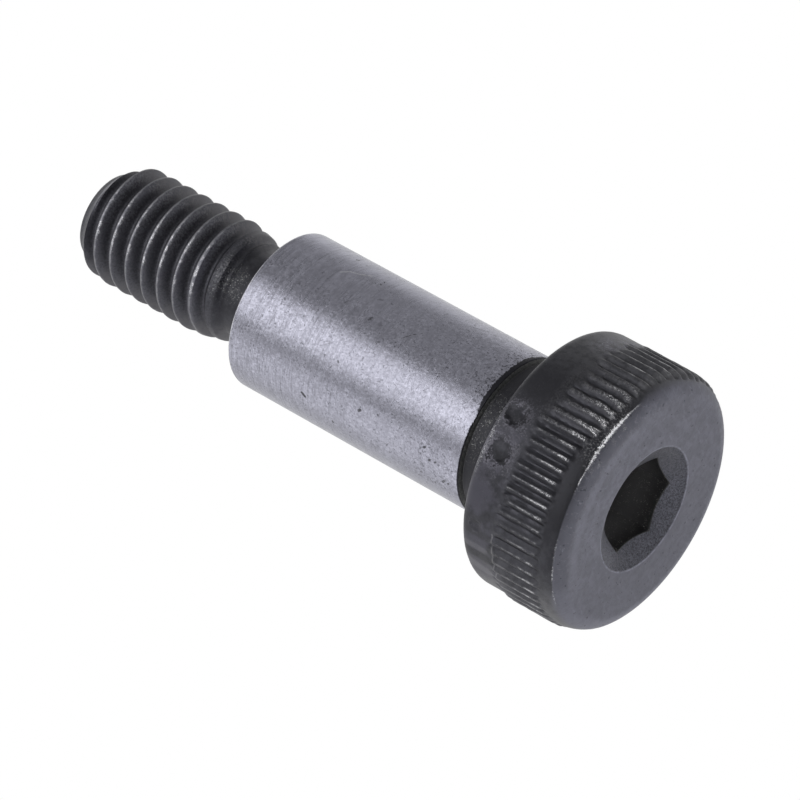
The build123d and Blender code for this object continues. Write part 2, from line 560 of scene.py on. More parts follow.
class Value:
    """An output of a node. Arithmetic with it adds the nodes that work it out."""

    def __init__(self, nodes, socket):
        self.nodes = nodes
        self.socket = socket

    def __add__(self, other):
        return self.nodes.math("ADD", self, other)

    def __sub__(self, other):
        return self.nodes.math("SUBTRACT", self, other)

    def __rsub__(self, other):
        return self.nodes.math("SUBTRACT", other, self)

    def __mul__(self, other):
        return self.nodes.math("MULTIPLY", self, other)

    __radd__ = __add__
    __rmul__ = __mul__

    def __abs__(self):
        return self.nodes.math("ABSOLUTE", self)

    def at_least(self, other):
        return self.nodes.math("MAXIMUM", self, other)

    def at_most(self, other):
        return self.nodes.math("MINIMUM", self, other)

    def wrap(self, low, high):
        return self.nodes.math("WRAP", self, high, low)

    def ease(self, low, high, to_low=0.0, to_high=1.0):
        """Smooth step from to_low at low to to_high at high, where low may be the greater."""
        inputs = enumerate((self, low, high, to_low, to_high))
        return self.nodes.add("MapRange", inputs, interpolation_type="SMOOTHSTEP")

    def between(self, low, high, soft):
        """1 from low to high, with soft edges."""
        return self.ease(low - soft, low + soft) * self.ease(high + soft, high - soft)

    def near(self, centre, width):
        """1 at centre, falling to 0 at width from it."""
        return abs(self - centre).ease(width, 0.0)

    def lay(self, shade, mask):
        """Lays another colour over this one, as far as the mask says."""
        self.socket = self.nodes.mix(mask, self, shade).socket


class Nodes:
    """The node tree of a material or a world, emptied, and short names for what goes into it."""

    def __init__(self, owner, kind="Material"):
        owner.use_nodes = True
        self.owner = owner
        self.tree = owner.node_tree
        self.tree.nodes.clear()
        self.output = self.tree.nodes.new("ShaderNodeOutput" + kind)

    def put(self, value, socket):
        """Links a value to a socket, or sets the socket to a number or to three."""
        if isinstance(value, Value):
            self.tree.links.new(value.socket, socket)
        elif socket.type == "VALUE":
            socket.default_value = value
        else:
            channels = list(value) if hasattr(value, "__len__") else [value] * 3
            socket.default_value = channels + [1.0] if socket.type == "RGBA" else channels

    def add(self, kind, inputs=(), output=0, **settings):
        """Adds a node, sets it, fills its inputs by name or number, and gives one of its outputs."""
        node = self.tree.nodes.new("ShaderNode" + kind)
        for name, value in settings.items():
            setattr(node, name, value)
        for name, value in dict(inputs).items():
            self.put(value, node.inputs[name])
        return Value(self, node.outputs[output])

    def math(self, operation, *values):
        return self.add("Math", enumerate(values), operation=operation)

    def most(self, first, *others):
        for value in others:
            first = first.at_least(value)
        return first

    def hypot(self, x, y):
        return self.math("SQRT", x * x + y * y)

    def stroke(self, u, v, start, end, width):
        """1 on a straight line from start to end, falling to 0 at width from it."""
        reach = math.dist(start, end)
        du, dv = (end[0] - start[0]) / reach, (end[1] - start[1]) / reach
        from_u, from_v = u - start[0], v - start[1]
        along = from_u * du + from_v * dv
        beyond = along - along.at_least(0.0).at_most(reach)
        across = from_v * du - from_u * dv
        return self.hypot(beyond, across).ease(width, width * 0.4)

    def noise(self, vector, scale, detail, roughness, distortion=0.0):
        """Noise from 0 to 1, stretched where the scale is three numbers."""
        if hasattr(scale, "__len__"):
            vector = self.add("VectorMath", {0: vector, 1: scale}, operation="MULTIPLY")
            scale = 1.0
        return self.add("TexNoise", {
            "Vector": vector, "Scale": scale, "Detail": detail, "Roughness": roughness,
            "Distortion": distortion,
        })

    def mix(self, mask, a, b):
        """Colour a where the mask is 0 and b where it is 1."""
        return self.add("Mix", {0: mask, 6: a, 7: b}, 2, data_type="RGBA", clamp_factor=True)

    def place(self):
        """Sets p, the point in millimetres, r and a, its radius and its angle in degrees, and z."""
        coordinates = self.add("TexCoord", output="Object")
        self.p = self.add("VectorMath", {0: coordinates, 1: 1 / MM}, operation="MULTIPLY")
        split = self.add("SeparateXYZ", {0: self.p}).socket.node
        x, y, self.z = (Value(self, socket) for socket in split.outputs)
        self.r = self.hypot(x, y)
        self.a = self.math("ARCTAN2", y, x) * (1 / DEGREE)

    def steel(self, colour, roughness, metallic, coat, height, depth, strength):
        """Ends the material as steel, with bumps as deep as depth millimetres."""
        bumps = self.add("Bump", {"Strength": strength, "Distance": depth * MM, "Height": height})
        return self.end(self.add("BsdfPrincipled", {
            "Base Color": colour, "Roughness": roughness, "Normal": bumps, "Metallic": metallic,
            "Coat Weight": coat, "Coat Roughness": 0.32,
        }))

    def choose(self, mask, off, on):
        """Ends the tree with one shader where the mask is 0 and another where it is 1."""
        return self.end(self.add("MixShader", {0: mask, 1: off, 2: on}))

    def end(self, shader):
        self.put(shader, self.output.inputs["Surface"])
        return self.owner


# ---------------------------------------------------------------- materials
# Masks are numbers from 0 to 1. Heights, radii and strokes are in millimetres, and angles in degrees.

DARK_STRIPE = (0.04, 0.04, 0.046)

# Dark and light stripes along the plain band, and a thin light line where the knurl ends: start and end as
# length round the band and height, then half width, strength and colour
BAND_STRIPES = (
    ((-8.43, 5.2), (-8.49, 3.76), 0.38, 0.9, DARK_STRIPE),
    ((-7.06, 4.98), (-7.11, 3.91), 0.34, 0.75, DARK_STRIPE),
    ((-6.45, 5.04), (-6.38, 4.47), 0.28, 0.6, (0.046, 0.046, 0.052)),
    ((-7.97, 5.1), (-8.00, 4.1), 0.26, 0.3, (0.21, 0.208, 0.225)),
    ((-9.3, 5.1), (-9.52, 4.1), 0.44, 0.34, (0.26, 0.258, 0.275)),
    ((-6.73, 3.66), (-10.1, 3.58), 0.06, 0.38, (0.3, 0.298, 0.31)),
)

# Marks of use on the shoulder, a nick, pits and single scratches: start and end as length round the
# shoulder and height, then half width and strength
MARKS = (
    ((-4.56, 17.06), (-4.68, 16.88), 0.1, 1.0), ((-3.8, 13.66), (-3.72, 13.58), 0.1, 0.9),
    ((-3.51, 12.54), (-3.47, 12.58), 0.06, 0.8), ((-2.16, 15.44), (-2.12, 15.48), 0.07, 0.7),
    ((-5.38, 15.2), (-5.32, 15.26), 0.07, 0.8), ((-3.8, 9.74), (-3.76, 9.68), 0.08, 0.9),
    ((-4.34, 9.38), (-4.28, 9.32), 0.07, 0.9), ((-4.3, 9.05), (-4.24, 8.98), 0.07, 0.8),
    ((-5.22, 8.58), (-5.1, 8.5), 0.09, 0.9), ((-5.18, 8.28), (-5.12, 8.22), 0.07, 0.8),
    ((-5.41, 9.93), (-5.36, 9.88), 0.06, 0.7), ((0.3, 15.24), (0.42, 15.16), 0.09, 0.7),
    ((0.26, 13.24), (0.78, 12.82), 0.035, 0.7), ((2.4, 16.3), (2.44, 16.34), 0.06, 0.8),
    ((2.7, 16.34), (2.74, 16.38), 0.05, 0.7), ((3.42, 18.62), (3.5, 18.54), 0.07, 0.9),
    ((3.00, 11.2), (3.36, 10.56), 0.035, 0.5), ((-0.8, 19.52), (-0.74, 19.58), 0.06, 0.6),
)
BRIGHT_SCRATCH = ((1.85, 18.3), (2.2, 17.98), (2.36, 17.55), (2.7, 17.1))

# Loose scratches on the shoulder: their direction in degrees and a place in the noise
SCRATCH_WAYS = ((35.0, 3.0), (-52.0, 9.0), (8.0, 17.0))


def paint_side(n, oxide):
    """Colour of the side of the head, the necks and the thread."""
    z, a, cloud, mottle, fine = n.z, n.a, n.cloud, n.mottle, n.fine
    colour = n.mix(mottle.ease(0.36, 0.68), oxide * 0.85, oxide * 1.3)
    # Lighter grey on two sectors of the side: partly worn oxide, partly painted sheen standing in for the
    # grazing highlights there
    rubbed_and_sheen = a.ease(8, 54).at_least(a.ease(-62, -94))
    rubbed_and_sheen *= z.ease(2.6, 3.8, 0.38, 1).at_least(z.ease(1.35, 1.05)) * z.ease(8, 9, 1, 0.35)
    colour.lay((0.152, 0.152, 0.163), rubbed_and_sheen * mottle.ease(0.3, 0.6, 0.45, 0.95))
    short_of_edge = z.ease(5.54, 5.46)
    lilac = z.ease(3.3, 3.9) * short_of_edge * cloud.ease(0.4, 0.58) * a.between(-100, -16, 10)
    colour.lay((0.078, 0.076, 0.096), lilac * 0.75)
    colour.lay(oxide * 0.92, z.ease(3.0, 3.9) * short_of_edge * a.between(-7, 13, 6) * 0.85)
    patch = a.between(36, 64, 6) * (z + cloud * 0.8).between(3.9, 4.9, 0.25) * mottle.ease(0.4, 0.56)
    colour.lay(n.mix(fine.ease(0.5, 0.64), (0.14, 0.138, 0.165), (0.27, 0.27, 0.3)), patch * 0.85)
    return colour


def paint_band(n, colour, oxide, band_radius):
    """Dents, rough inside with painted shade, lighter on one side and darker on the other, with a broken,
    lighter lip that is partly a painted highlight on that side, stained steel beside them, and dark and
    light stripes along the band.
    """
    z, r, a, cloud, mottle, fine = n.z, n.r, n.a, n.cloud, n.mottle, n.fine
    beside = a.between(-38, -2, 5) * z.between(3.6, 5.4, 0.25) * mottle.ease(0.44, 0.6)
    colour.lay(n.mix(fine.ease(0.48, 0.62), oxide * 1.1, (0.125, 0.122, 0.145)), beside * 0.75)
    ragged = (cloud - 0.5) * 1.6 + (mottle - 0.5) * 3.2 + (fine - 0.5) * 1.4
    for at, height, wide, tall, deep in DENTS:
        across = (a - at).wrap(-180, 180) * (math.radians(band_radius) / wide)
        along = (z - height) * (1 / tall)
        distance = n.hypot(across, along) + ragged + r.ease(6.0, 5.5, 0, 9)
        strength = min(1.0, deep * 10)
        # The lip: partly raised metal worn lighter, partly a painted highlight, strongest on one side of
        # the dent
        lip = distance.near(1.22, 0.28) * fine.ease(0.36, 0.56, 0.15, 1) * along.ease(-0.6, 1.1, 0.45, 1)
        colour.lay((0.165, 0.16, 0.19), lip * (0.9 * strength))
        # Painted shade inside each dent: lighter on one side and darker on the other, as light falls into a
        # hollow
        lit = across * 0.85 + along * 0.3 + (mottle - 0.5) * 2.2 + (fine - 0.5) * 0.9
        inner = n.mix(lit.ease(-0.6, 0.9), oxide * 0.44, oxide * 1.25)
        colour.lay(inner, distance.ease(0.85, 1.05, 0.9 * strength, 0))
    u = a * math.radians(band_radius)
    uneven = (mottle * 0.6 + fine * 0.4).ease(0.36, 0.54, 0.35, 1) * r.ease(6.0, 6.3)
    for start, end, wide, tone, shade in BAND_STRIPES:
        colour.lay(shade, n.stroke(u, z, start, end, wide) * uneven * tone)


def paint_face(n, colour, oxide, grey, drop):
    """Face, with an edge that is crisp on one side of the head and fades over the corner on the other, that
    fade being painted shade, and with painted shade and a painted reflection on the crown.
    """
    z, r, a, p, cloud, mottle, fine = n.z, n.r, n.a, n.p, n.cloud, n.mottle, n.fine
    crisp = a.between(-78, 24, 9)
    # Where the edge is not crisp, the face's grey fades into the oxide over the corner: painted shade
    edge = crisp.ease(0, 1, drop - 0.16, drop - 0.03)
    soft_edge = crisp.ease(0, 1, drop + 0.3, drop + 0.03)
    zone = z.ease(soft_edge, edge) * r.ease(2.9, 3.0)
    face = n.mix(cloud.ease(0.35, 0.66), grey * 0.86, grey * 1.04)
    face.lay(grey * 0.78, mottle.ease(0.46, 0.62, 0, 0.5))
    face.lay(grey * 1.25, n.noise(p, (1.1, 5.0, 1.0), 4, 0.6).ease(0.54, 0.7, 0, 0.5))
    face.lay(grey * 0.6, fine.ease(0.6, 0.7, 0, 0.6))
    wiped = n.noise(p, (13.0, 1.3, 1.0), 3, 0.7)
    face.lay(grey * 1.3, wiped.ease(0.58, 0.7, 0, 0.5))
    face.lay(grey * 0.72, wiped.ease(0.42, 0.3, 0, 0.5))
    far = abs((a + 168).wrap(-180, 180)).ease(120, 20)
    face.lay(grey * 0.72, far * r.ease(5.5, 5.3) * 0.42)
    # Painted reflection: a lighter band along the outer edge of the crown on the far side
    face.lay(grey * 1.22, far * r.ease(5.4, 5.7) * 0.9)
    # Painted shade: the crown darker towards the rim on the crisp side, where it tilts away from the light
    face.lay(grey * 0.68, (r + mottle * 0.35).ease(5.45, 5.8) * crisp * 0.8)
    face.lay(grey * 1.28, r.between(4.8, 5.25, 0.15) * crisp * 0.4)
    curls = n.noise(p, 1.7, 3, 0.55, 0.8).near(0.53, 0.02) * fine.ease(0.4, 0.56)
    face.lay(grey * 1.45, curls * a.between(-70, 40, 16) * r.ease(3.4, 3.7) * 0.55)
    pits = n.noise(p, 4.5, 2, 0.45).ease(0.67, 0.705) * r.ease(3.3, 3.4)
    face.lay(grey * 0.38, pits * 0.75)
    # Painted shade on the front corner below the rim, on one side of the head
    painted_corner_shade = a.between(-46, -2, 8) * z.ease(1.25, 0.95) * z.ease(0.3, 0.36)
    colour.lay(oxide * 0.72, painted_corner_shade * 0.8)
    colour.lay(face, zone)
    return zone, pits


def paint_socket(n, colour, grey, flats):
    """Conical mouth with a light lip and painted light on one side, and dusty walls with painted shade,
    black near the mouth and greyer further in.
    """
    z, r, a, mottle, fine, grit = n.z, n.r, n.a, n.mottle, n.fine, n.grit
    mouth_zone = r.ease(3.14, 3.08) * z.ease(0.7, 0.6)
    grainy = (fine * 0.5 + grit * 0.5).ease(0.36, 0.62)
    mouth = n.mix(grainy, grey * 0.22, grey * 0.74)
    # Painted light: one side of the mouth lighter
    mouth.lay(n.mix(grainy, grey * 0.36, grey * 1.15), a.between(-108, -14, 20) * 0.8)
    colour.lay(mouth, mouth_zone)
    colour.lay(grey * 1.9, r.near(3.15, 0.08) * z.ease(0.1, 0.02) * mottle.ease(0.4, 0.58) * 0.6)
    from_corner = abs(a.wrap(-30, 30))
    reach = r * n.math("COSINE", (30 - from_corner) * DEGREE)
    inside = reach.ease(flats + 0.042, flats + 0.03) * z.ease(0.3, 0.36) * z.ease(6, 5)
    # Painted shade: the walls black near the mouth and greyer further in
    walls = n.mix(z.ease(0.5, 2.2), (0.012, 0.012, 0.013), (0.105, 0.104, 0.108))
    walls.lay((0.5, 0.49, 0.46), grit.ease(0.62, 0.7) * mottle.ease(0.48, 0.6))
    colour.lay(walls, inside)
    return mouth_zone, inside


def paint_ridges(n, colour, oxide, head, knurl):
    """Ridges of the knurl, worn along their tops and most of all at their front ends, with a painted
    highlight along one edge of each, painted glints near the front ends, and roots painted lighter against
    their shade.
    """
    z, r, a, mottle, fine, grit = n.z, n.r, n.a, n.mottle, n.fine, n.grit
    corner, radius = mm(head.corner_height), mm(head.radius)
    arc = arc_radius(radius - mm(head.rim_radius), corner - mm(head.rim_drop))
    short = (corner - z).at_least(0)
    over_top = r - ((radius - arc) + n.math("SQRT", arc**2 - short * short))
    forward = a.ease(-9, 1) * a.ease(170, 130)
    first = 1.17 - forward * 0.5 + (mottle - 0.5) * 0.3
    before_band = z.ease(3.9, 3.5)
    ends = (z - first).ease(-0.06, 0.1) * before_band
    crest = over_top.ease(-0.055, -0.012) * ends
    coarse = a.between(-7, 27, 4)
    broad = over_top.ease(-0.12, -0.03) * ends * coarse
    colour.lay((0.105, 0.104, 0.112), broad * fine.ease(0.42, 0.6) * 0.8)
    # Painted light: the roots lightened against the shade in the grooves
    roots = over_top.ease(-0.07, -0.15) * z.ease(1.2, 1.6) * before_band * a.between(-56, 12, 10)
    colour.lay(oxide * 2.2, roots * 0.45)
    across = (a * (knurl.count / 360)).wrap(-0.5, 0.5) + (fine - 0.5) * 0.18 + (grit - 0.5) * 0.1
    thin = across.near(0.055, 0.085) * fine.ease(0.38, 0.55, 0.35, 1)  # along one edge of each ridge
    # Worn tops, with a painted highlight along one edge of each ridge, stronger or weaker by angle round
    # the head
    worn = crest * coarse.ease(0, 1, thin * 1.8 + 0.16, 0.3) * z.ease(1.3, 3.1, 1, 0.3)
    worn *= n.noise(n.p, (4.0, 4.0, 2.2), 4, 0.65).ease(0.4, 0.64)
    worn *= 0.2 + a.between(-46, -4, 8) * 0.32 + a.ease(26, 46) * 0.85 + a.ease(-46, -80) * 0.36
    # Painted glints near the front ends of the ridges
    glint = crest * coarse.ease(0, 1, across.near(0.05, z.ease(1.4, 1.9, 0.2, 0.11)), 1)
    glint *= grit.ease(0.52, 0.61) * fine.ease(0.38, 0.52) * z.ease(1.3, 2.4, 1, 0.15)
    glint *= a.between(-44, 22, 10).at_least(a.between(-125, -60, 14) * 0.5)
    return worn, glint, broad


def rim_marks(n, rim, drop):
    """Rim of the face: bright burred steel with a painted glint, a speckled painted highlight on the crown
    beside it, and scuffs on the front corner.
    """
    z, r, a, cloud, mottle, fine, grit = n.z, n.r, n.a, n.cloud, n.mottle, n.fine, n.grit
    torn = a.between(-12, 14, 5)
    jagged = (fine - 0.5) * 0.24 + (grit - 0.5) * 0.2
    from_rim = n.hypot(r - rim, z - drop) + jagged * torn.ease(0, 1, 0.8, 1.5)
    from_rim += torn.ease(0, 1, 0.015, -0.026)
    burred = a.between(-24, 20, 4) * mottle.ease(0.36, 0.5, 0.3, 1)
    burred += a.between(-82, -50, 5) * mottle.ease(0.48, 0.56, 0.05, 0.6)
    # Burred, worn rim with a painted glint along it
    burrs_and_glint = from_rim.ease(0.05, 0.01) * burred
    # Painted highlight: speckled brightness on the crown by the rim
    smear_and_glint = cloud.ease(0.44, 0.56) * mottle.ease(0.46, 0.64) * grit.ease(0.44, 0.6)
    smear_and_glint *= a.between(-16, 16, 4) * r.between(5.8, 6.25, 0.14) * z.ease(0.6, 0.5) * 0.45
    scuffs = a.between(-12, 18, 5) * fine.ease(0.5, 0.62) * z.ease(0.36, 0.44) * z.ease(1.1, 0.8) * 0.16
    return burrs_and_glint, smear_and_glint, scuffs


def paint_thread(n, colour, oxide, thread):
    """Thread: lightened all over against its shade, with painted light on one flank of each turn and
    painted sheen on two sides, a thin worn line on the crest that is partly a painted highlight, light
    patches of painted light beside it on the lit flank, and the chamfered tip.
    """
    z, r, a, cloud, mottle, fine, grit = n.z, n.r, n.a, n.cloud, n.mottle, n.fine, n.grit
    offset = (z - mm(thread.first_crest) - a * (1 / 360)).wrap(-0.5, 0.5)  # from the crest, in turns
    threads = z.ease(23.4, 24.2)
    # Painted light: the thread lightened all over against the shade in its roots
    colour.lay(n.mix(fine.ease(0.38, 0.64), oxide * 1.25, oxide * 2.2), threads * 0.75)
    # Painted light on one flank of each turn, strongest on one side of the bolt
    lit_flank = z.ease(24.1, 24.9) * offset.ease(-0.42, -0.1) * offset.ease(0.1, 0.02)
    lit_flank *= fine.ease(0.3, 0.55, 0.6, 1) * abs(a + 12).ease(20, 60, 0.85, 0.35)
    colour.lay(oxide * 4.0, lit_flank)
    # Painted sheen on two sides of the thread, standing in for grazing highlights
    grazing_sheen = a.between(36, 110, 12).at_least(a.between(-140, -86, 12))
    colour.lay((0.128, 0.126, 0.136), z.ease(19, 22) * grazing_sheen * mottle.ease(0.34, 0.6, 0.4, 0.9))
    crests = z.ease(24.0, 24.6) * r.ease(2.7, 2.85)
    wander = offset + (mottle - 0.5) * 0.16
    # A worn line on the crest, partly a painted highlight, stronger on one side of the bolt
    line = crests * wander.near(0, 0.08) * mottle.ease(0.34, 0.62, 0.3, 1)
    line *= a.ease(-70, -30, 0.55, 1) * a.ease(0, 30, 1, 0.55) * 0.42
    # Painted light: light patches on the lit flank beside the crest
    flank = r.ease(2.45, 2.62) * z.ease(23.3, 24.0) * wander.between(-0.34, 0.02, 0.1)
    flank *= a.between(-24, 44, 14) * fine.ease(0.42, 0.62) * cloud.ease(0.36, 0.5) * 0.13
    glint = crests * wander.near(-0.01, 0.13) * grit.ease(0.51, 0.6) * a.between(-46, 4, 12)
    glint *= mottle.ease(0.48, 0.58)
    radius, chamfer = mm(thread.radius), mm(thread.tip_chamfer)
    at_tip = z - (mm(HIGH.z) - chamfer)
    over_cone = r - (radius - at_tip * ((radius - mm(thread.tip_radius)) / chamfer))
    tip = over_cone.ease(-0.16, -0.08) * at_tip.ease(0.1, 0.3)
    colour.lay(n.mix(fine.ease(0.4, 0.62), (0.018, 0.018, 0.024), (0.048, 0.047, 0.062)), tip)
    return line, flank, glint, threads


def paint_necks(n, colour, oxide, head_height):
    """Necks with specks of bright steel in patches and painted shade, the step to the shoulder painted
    lighter against its shade, and the band's worn edge.
    """
    z, r, a, mottle, fine, grit = n.z, n.r, n.a, n.mottle, n.fine, n.grit
    patches = mottle.ease(0.4, 0.58)
    necks = z.between(5.9, 7.7, 0.2) * a.between(-46, 6, 14) * r.ease(4.4, 4.2)
    necks += z.between(21.9, 24.4, 0.3) * a.between(-40, 4, 10) * r.ease(2.85, 2.75)
    # Painted shade: the neck under the head darker, most on one side
    colour.lay(oxide * 0.8, z.ease(5.7, 5.9) * z.ease(21, 19) * (a.between(-75, 130, 20) * 0.6 + 0.2))
    colour.lay(n.mix(fine.ease(0.45, 0.6), oxide * 0.7, (0.1, 0.102, 0.098)), necks * patches * 0.5)
    specks = necks * (grit * 0.75 + fine * 0.25).ease(0.6, 0.66) * patches * 0.55
    # Painted light: the step lighter than the oxide, against the head's shadow
    step = z.ease(7.5, 7.66) * r.ease(3.7, 3.74) * z.ease(8.8, 8.6)
    colour.lay(n.mix(fine.ease(0.44, 0.6), (0.064, 0.066, 0.066), (0.12, 0.122, 0.118)), step)
    edge = z.near(head_height - 0.01, 0.06) * r.near(6.16, 0.08)
    edge *= fine.ease(0.35, 0.6) * mottle.ease(0.4, 0.55, 0.5, 1) * 0.45
    nicks = z.near(5.35, 0.3) * r.ease(5.9, 6.1) * a.between(-36, -14, 6) * grit.ease(0.56, 0.64) * patches
    return necks, specks, step, edge, nicks


def oxide_finish(finish, head, knurl, socket, thread):
    """Black oxide, worn grey on the face, with bright steel and painted glints and highlights at the rim,
    the ridges and the crests.
    """
    n = Nodes(bpy.data.materials.new("black_oxide_steel"))
    n.place()
    n.cloud = n.noise(n.p, 0.8, 4, 0.6)
    n.mottle = n.noise(n.p, 3.0, 5, 0.65)
    n.fine = n.noise(n.p, 10.0, 4, 0.7)
    n.grit = n.noise(n.p, 24.0, 2, 0.6)
    oxide, grey, bare = Vector(finish.oxide[:]), Vector(finish.face[:]), Vector(finish.bare[:])
    rim, drop = mm(head.rim_radius), mm(head.rim_drop)

    colour = paint_side(n, oxide)
    paint_band(n, colour, oxide, mm(head.band_radius))
    face_zone, pits = paint_face(n, colour, oxide, grey, drop)
    mouth_zone, inside = paint_socket(n, colour, grey, mm(socket.width) / 2)
    ridge_wear_and_highlight, ridge_glint, broad = paint_ridges(n, colour, oxide, head, knurl)
    burrs_and_glint, smear_and_glint, scuffs = rim_marks(n, rim, drop)
    line, flank, crest_glint, threads = paint_thread(n, colour, oxide, thread)
    necks, specks, step, edge, nicks = paint_necks(n, colour, oxide, mm(head.height))

    # The wear setting scales the worn steel and the painted glints and highlights alike
    wear = finish.wear / DRAWN_WEAR
    # Worn steel, with the painted highlights on the ridges and the thread
    worn = (n.most(ridge_wear_and_highlight, line, flank, scuffs, edge) * wear).at_most(1)
    # Bare steel and painted glints, made less metallic below so that they show white
    bright = (n.most(burrs_and_glint, ridge_glint, smear_and_glint, crest_glint, specks, nicks) * wear).at_most(1)
    colour.lay(bare * 0.75, worn)
    colour.lay(bare, bright)
    # Painted glint: the middle of the rim brighter than bare steel
    colour.lay(bare * 1.18, burrs_and_glint * n.a.between(-14, 16, 5))

    roughness = finish.oxide_roughness + (n.mottle - 0.5) * 0.25 + face_zone * 0.06
    # The step is also made less metallic, so its painted light shows
    metallic = (1 - bright * 0.85) * (1 - inside) * (0.85 - step * 0.75)
    gritty = n.most(broad * 1.2, mouth_zone, necks * 0.8, threads * 0.5, 0.25)
    height = n.mottle * 0.6 + n.fine * 0.5 + n.grit * gritty * 0.9 - pits * 0.8
    return n.steel(colour, roughness, metallic, 0.07, height, 0.016, 0.85)


def paint_marks(n, colour, steel, bare, u, fine):
    """Loose scratches all over the shoulder, and single marks of use."""
    z = n.z
    scratches = 0.0
    for turned, seed in SCRATCH_WAYS:
        c, s = math.cos(math.radians(turned)), math.sin(math.radians(turned))
        along, across = (u * c + z * s) * 0.9, (z * c - u * s) * 17
        way = n.add("CombineXYZ", {0: along, 1: across, 2: seed})
        scratches += n.noise(way, 1, 1, 0.4).ease(0.7, 0.77)
    scratches = scratches.at_most(1)
    colour.lay(steel * 0.5, scratches * 0.5)
    dark = n.most(*(n.stroke(u, z, start, end, wide) * tone for start, end, wide, tone in MARKS))
    dark *= fine.ease(0.3, 0.45)
    light = n.most(*(n.stroke(u, z, *ends, 0.04) for ends in zip(BRIGHT_SCRATCH, BRIGHT_SCRATCH[1:])))
    colour.lay((0.05, 0.05, 0.055), dark)
    colour.lay(bare, light * fine.ease(0.35, 0.55, 0.2, 0.7))
    return scratches, dark


def ground_finish(finish, shank):
    """Ground steel, with the fine marks of the wheel round it, scratches and traces of oxide."""
    n = Nodes(bpy.data.materials.new("ground_steel"))
    n.place()
    z, a, p = n.z, n.a, n.p
    steel, bare = Vector(finish.steel[:]), Vector(finish.bare[:])
    u = a * math.radians(mm(shank.radius))  # length round the shoulder
    marks = n.noise(p, (0.7, 0.7, 10.0), 4, 0.65)
    lines = n.noise(p, (0.4, 0.4, 30.0), 3, 0.6)
    mottle = n.noise(p, (2.0, 2.0, 2.6), 5, 0.7)
    cloud = n.noise(p, 0.45, 3, 0.5)
    fine = n.noise(p, 9.0, 3, 0.65)
    streaky = (z + (cloud - 0.5) * 8).ease(12, 19, 0.12, 1)
    ground = streaky * 0.8 + 0.2
    colour = n.mix(mottle.ease(0.34, 0.68), steel * 0.87, steel * 1.1)
    colour.lay(steel * 0.62, marks.ease(0.5, 0.66) * ground * 0.7)
    colour.lay(steel * 1.28, marks.ease(0.46, 0.32) * ground * 0.55)
    calm = (a + cloud * 40).ease(18, 44) * a.ease(150, 110) * (z + cloud * 8).ease(14, 19)
    calm = calm.at_least(a.ease(-74, -96).at_least(a.ease(90, 130)) * 0.8)
    lively = 1 - calm * 0.8
    flecks = n.noise(p, (6.6, 6.6, 5.6), 5, 0.8, 0.4)
    colour.lay(steel * 0.55, flecks.ease(0.5, 0.62, 0, 0.62) * lively)
    colour.lay(steel * 1.5, flecks.ease(0.47, 0.37, 0, 0.62) * lively)
    thin = lines.ease(0.575, 0.64) * ground * n.noise(p, 1.6, 2, 0.5).ease(0.42, 0.54) * lively
    colour.lay(steel * 0.46, thin * 0.8)
    colour.lay(steel * 0.8, cloud.ease(0.42, 0.62, 0, 0.25))
    colour.lay(steel * 0.26, fine.ease(0.57, 0.63) * mottle.ease(0.45, 0.56) * lively * 0.75)
    blots = n.noise(p, 4.2, 3, 0.5).ease(0.645, 0.69) * cloud.ease(0.42, 0.58)
    stains = a.between(-88, -46, 8) * z.between(7.9, 10.6, 0.8) * mottle.ease(0.44, 0.58)
    colour.lay(steel * 0.32, blots.at_least(stains * fine.ease(0.44, 0.56)) * 0.55)
    scratches, dark = paint_marks(n, colour, steel, bare, u, fine)
    # Painted highlight: a bright ring along the chamfer at the shoulder's end
    colour.lay(bare, z.near(mm(shank.end) - 0.09, 0.06) * mottle.ease(0.36, 0.6) * 0.6)

    # Traces of oxide beside the neck, thinning out into specks
    away = z - (a.between(-10, 50, 10) * 0.2 + (mm(shank.neck_end) + 0.04))
    ragged = ((mottle - 0.5) + (fine - 0.5) * 1.2) * (a.between(-30, 60, 14) * 0.85 + 0.15)
    strewn = (fine - away * 0.12).ease(0.5, 0.58) * away.ease(1.3, 0.3) * a.between(-16, 66, 10)
    trace = (ragged - away * 4).ease(-0.05, 0.12).at_least(strewn * 0.75)
    colour.lay(Vector(finish.oxide[:]) * 0.9, trace)

    roughness = finish.steel_roughness + (marks - 0.5) * 0.25 + (mottle - 0.5) * 0.2 + trace * 0.15
    height = lines * (streaky + 0.3) * 0.5 + marks * (streaky + 0.15) + mottle * 1.1
    height += flecks * lively * 1.1 + fine * lively * 0.5 - scratches * 0.5 - dark * 1.5
    return n.steel(colour, roughness, 1.0, 0.0, height, 0.009, 0.75)


def glow(name, radiance, azimuths, elevations, soft):
    """A card's material: the same light from both sides, fading out towards its edges."""
    n = Nodes(bpy.data.materials.new(name))
    n.place()
    half = (azimuths[1] - azimuths[0]) / 2
    across = abs((n.a - sum(azimuths) / 2).wrap(-180, 180))
    above = n.math("ARCTAN2", n.z - mm(CENTRE.z), n.r) * (1 / DEGREE)
    shown = above.between(elevations[0] + soft / 2, elevations[1] - soft / 2, soft / 2)
    shown *= across.ease(half, half - soft)
    light = n.add("Emission", {"Color": 1, "Strength": radiance})
    return n.choose(shown, n.add("BsdfTransparent"), light)


# ---------------------------------------------------------------- operators

# The camera: the directions to the right and up in its picture, and its place in metres
CAMERA_RIGHT = Vector((-0.26461, 0.59499, -0.7589))
CAMERA_UP = Vector((0.49699, 0.75857, 0.4214))
CAMERA_PLACE = Vector((0.21163, -0.06913, -0.11347))

